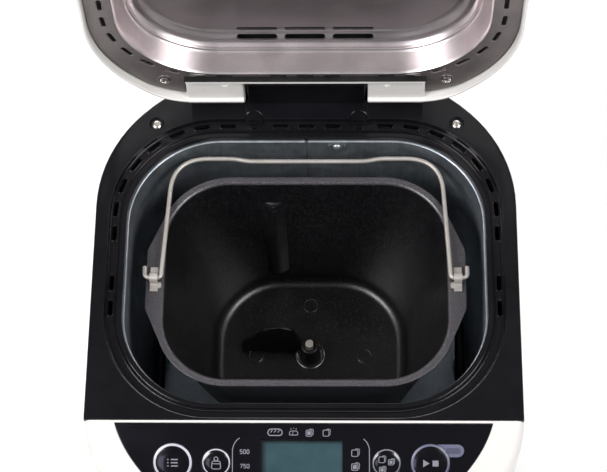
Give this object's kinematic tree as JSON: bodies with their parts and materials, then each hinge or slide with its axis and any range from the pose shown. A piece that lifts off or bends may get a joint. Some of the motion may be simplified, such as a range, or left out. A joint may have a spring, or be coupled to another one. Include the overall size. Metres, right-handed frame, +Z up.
{
  "type": "bread machine",
  "caption": "Countertop bread machine: hinged lid held open, vented deck, lift-out bread pan with bail handle, kneading paddle, belt drive and a sloping control panel.",
  "frame": {"origin": "centre of the overall footprint box, on the worktop plane under the feet, with the lid open", "axes": "+X to the user's right, +Y to the rear where the lid hinge is, +Z up"},
  "size_m": [0.28, 0.339, 0.5026],
  "materials": {
    "white_plastic": "warm white moulded ABS, satin gloss",
    "black_plastic": "near-black heat-resistant plastic, fine texture",
    "black_gloss": "glossy black panel film",
    "button_face": "glossy black button with a pale ring",
    "lcd": "grey-green liquid crystal display",
    "lilac_lens": "pale lilac indicator lens",
    "brushed_dish": "pressed satin steel",
    "grey_flange": "dark grey lacquered sheet",
    "galvanised": "galvanised steel, blue-grey",
    "bright_steel": "bright plated steel",
    "nonstick": "dark grey speckled non-stick coating on cast aluminium",
    "paddle_coating": "black non-stick coating",
    "dark_steel": "dark oxidised steel",
    "inner_plastic": "grey moulded plastic",
    "rubber": "black rubber",
    "circuit_board": "green circuit board with components"
  },
  "bodies": {
    "housing": {"control_surround": "white_plastic", "control_fascia": "black_gloss", "display_window": "lcd", "display_module": "inner_plastic", "indicator_lens": "lilac_lens", "control_board": "circuit_board", "body_shell": "white_plastic", "base_plate": "inner_plastic", "foot_front_left": "rubber", "foot_front_right": "rubber", "foot_rear_left": "rubber", "foot_rear_right": "rubber", "deck": "black_plastic", "hinge_pin_left": "bright_steel", "hinge_pin_right": "bright_steel", "deck_screw_left": "bright_steel", "deck_screw_right": "bright_steel", "oven_chamber": "galvanised", "heating_element": "dark_steel", "element_support_left": "galvanised", "element_support_right": "galvanised", "temperature_sensor": "bright_steel", "pan_seat": "galvanised", "spindle_bearing": "inner_plastic", "drive_belt": "rubber", "motor": "dark_steel", "chassis": "galvanised", "power_board": "circuit_board", "cord_gland": "rubber"},
    "lid": {"lid_shell": "white_plastic", "lid_flange": "grey_flange", "lid_dish": "brushed_dish", "lid_screw_rear_left": "bright_steel", "lid_screw_rear_right": "bright_steel", "lid_screw_front_left": "bright_steel", "lid_screw_front_right": "bright_steel"},
    "pan": {"pan_body": "nonstick", "pan_base": "bright_steel", "shaft_collar": "bright_steel", "handle_bracket_left": "bright_steel", "handle_bracket_right": "bright_steel"},
    "bail": {"handle": "bright_steel"},
    "pan_spindle": {"pan_shaft": "bright_steel", "pan_coupling": "dark_steel"},
    "paddle": {"kneading_paddle": "paddle_coating"},
    "drive": {"spindle": "bright_steel", "drive_coupling": "dark_steel", "spindle_pulley": "black_plastic"},
    "motor_drive": {"motor_pulley": "dark_steel"},
    "menu_key": {"menu_button": "button_face"},
    "weight_key": {"weight_button": "button_face"},
    "crust_key": {"crust_button": "button_face"},
    "start_key": {"start_button": "button_face"},
    "timer_down_key": {"timer_down_button": "button_face"},
    "timer_up_key": {"timer_up_button": "button_face"}
  },
  "joints": [
    {"name": "lid_hinge", "type": "hinge", "parent": "housing", "child": "lid", "pos_m": [0, 0.11707, 0.2594], "axis": [-1, 0, 0], "range_deg": [-94.5, 0]},
    {"name": "pan_lift", "type": "slide", "parent": "housing", "child": "pan", "axis": [0, 0, 1], "range_m": [0, 0.24]},
    {"name": "handle_swing", "type": "hinge", "parent": "pan", "child": "bail", "pos_m": [0, -0.01243, 0.22], "axis": [1, 0, 0], "range_deg": [0, 180]},
    {"name": "spindle_spin", "type": "hinge", "parent": "housing", "child": "drive", "pos_m": [0, -0.01153, 0.04], "axis": [0, 0, 1], "continuous": true},
    {"name": "pan_shaft_spin", "type": "hinge", "parent": "pan", "child": "pan_spindle", "pos_m": [0, -0.01153, 0.06], "axis": [0, 0, 1], "continuous": true},
    {"name": "paddle_lift", "type": "slide", "parent": "pan_spindle", "child": "paddle", "axis": [0, 0, 1], "range_m": [0, 0.2]},
    {"name": "motor_spin", "type": "hinge", "parent": "housing", "child": "motor_drive", "pos_m": [0.062, -0.13503, 0.04], "axis": [0, 0, 1], "continuous": true},
    {"name": "menu_press", "type": "slide", "parent": "housing", "child": "menu_key", "axis": [0, 0.515, -0.8572], "range_m": [0, 0.0012], "stiffness_N_per_m": 1500},
    {"name": "weight_press", "type": "slide", "parent": "housing", "child": "weight_key", "axis": [0, 0.515, -0.8572], "range_m": [0, 0.0012], "stiffness_N_per_m": 1500},
    {"name": "crust_press", "type": "slide", "parent": "housing", "child": "crust_key", "axis": [0, 0.515, -0.8572], "range_m": [0, 0.0012], "stiffness_N_per_m": 1500},
    {"name": "start_press", "type": "slide", "parent": "housing", "child": "start_key", "axis": [0, 0.515, -0.8572], "range_m": [0, 0.0012], "stiffness_N_per_m": 1500},
    {"name": "timer_down_press", "type": "slide", "parent": "housing", "child": "timer_down_key", "axis": [0, 0.515, -0.8572], "range_m": [0, 0.0012], "stiffness_N_per_m": 1500},
    {"name": "timer_up_press", "type": "slide", "parent": "housing", "child": "timer_up_key", "axis": [0, 0.515, -0.8572], "range_m": [0, 0.0012], "stiffness_N_per_m": 1500}
  ],
  "couplings": [
    {"joint": "pan_shaft_spin", "follows": "spindle_spin", "ratio": 1},
    {"joint": "motor_spin", "follows": "spindle_spin", "ratio": 4.2222}
  ]
}
